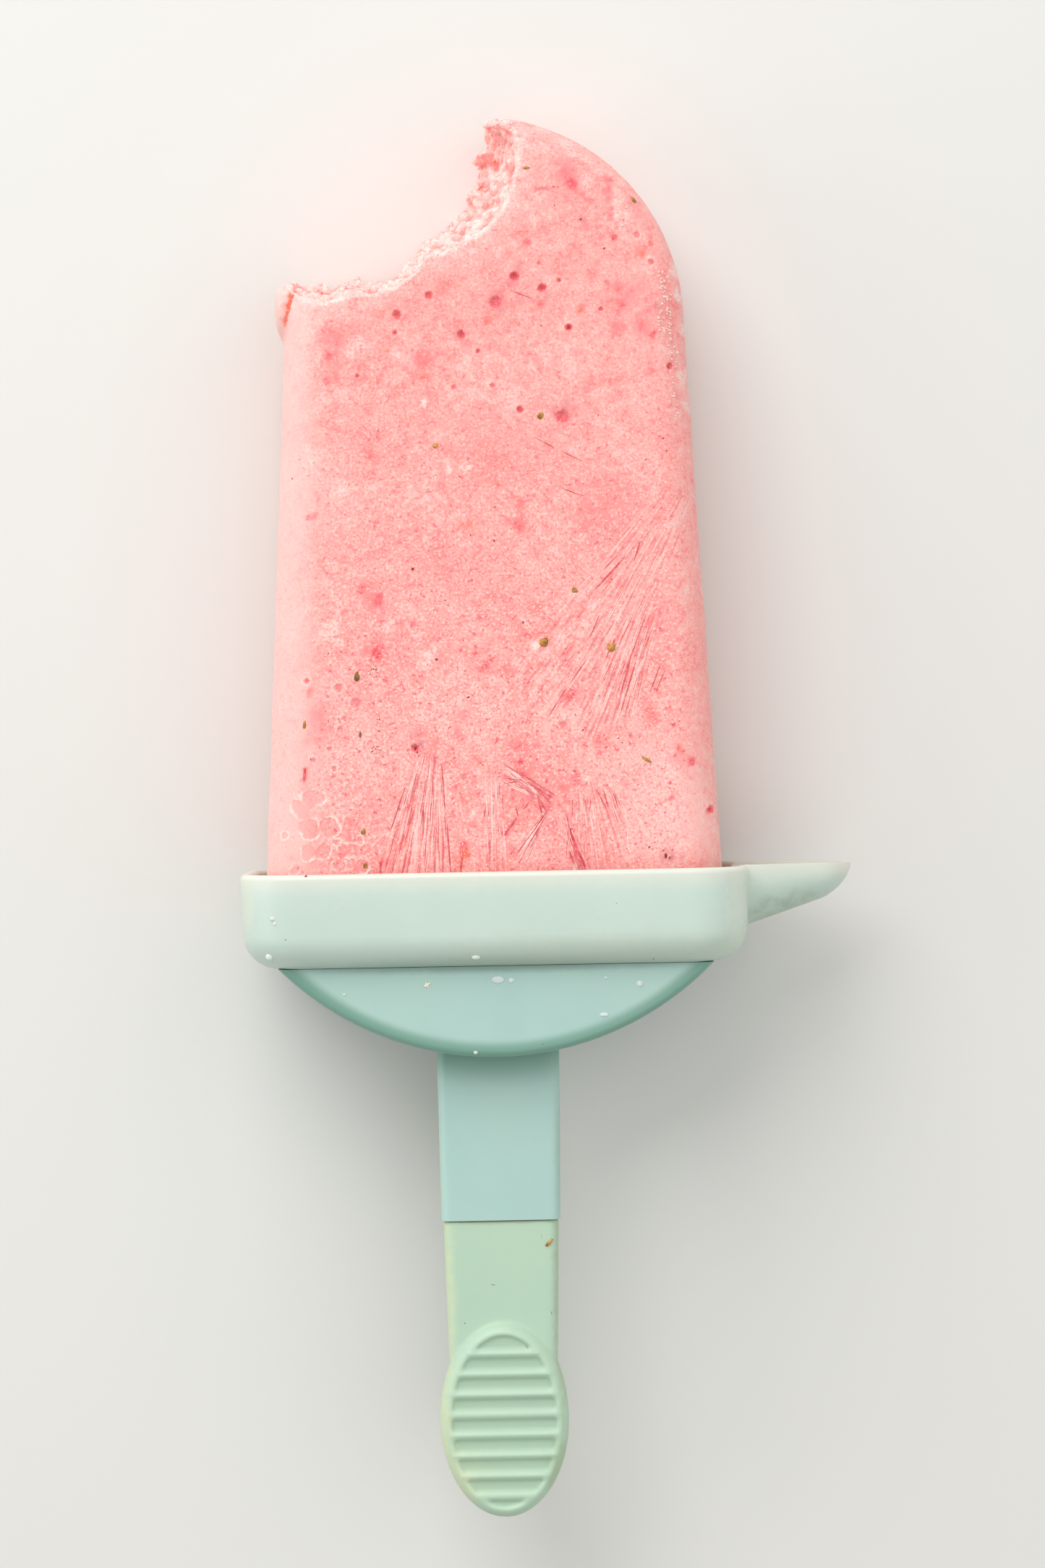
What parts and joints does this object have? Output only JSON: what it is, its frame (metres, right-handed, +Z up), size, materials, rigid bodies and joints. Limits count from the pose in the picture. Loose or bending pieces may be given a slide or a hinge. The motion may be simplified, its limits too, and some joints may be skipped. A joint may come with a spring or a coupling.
{
  "type": "ice pop",
  "caption": "Strawberry cream ice pop bitten at its tip, set in a mint drip tray with a side spout, on a handle with a half-moon shoulder, a flat stem and an oval ribbed thumb pad, lying down.",
  "frame": {"origin": "on the table, in the middle of the flat where the drip tray's back rim touches it", "axes": "+Y runs from the grip to the bitten tip, +X to the side with the spout, +Z up out of the shown face"},
  "size_m": [0.084, 0.1924, 0.031],
  "materials": {
    "strawberry_ice": "satin",
    "mint_plastic": "satin",
    "aqua_plastic": "satin",
    "green_plastic": "satin"
  },
  "bodies": {
    "root": {"pop": "strawberry_ice", "tray": "mint_plastic", "handle": "aqua_plastic", "grip": "green_plastic"}
  },
  "joints": []
}
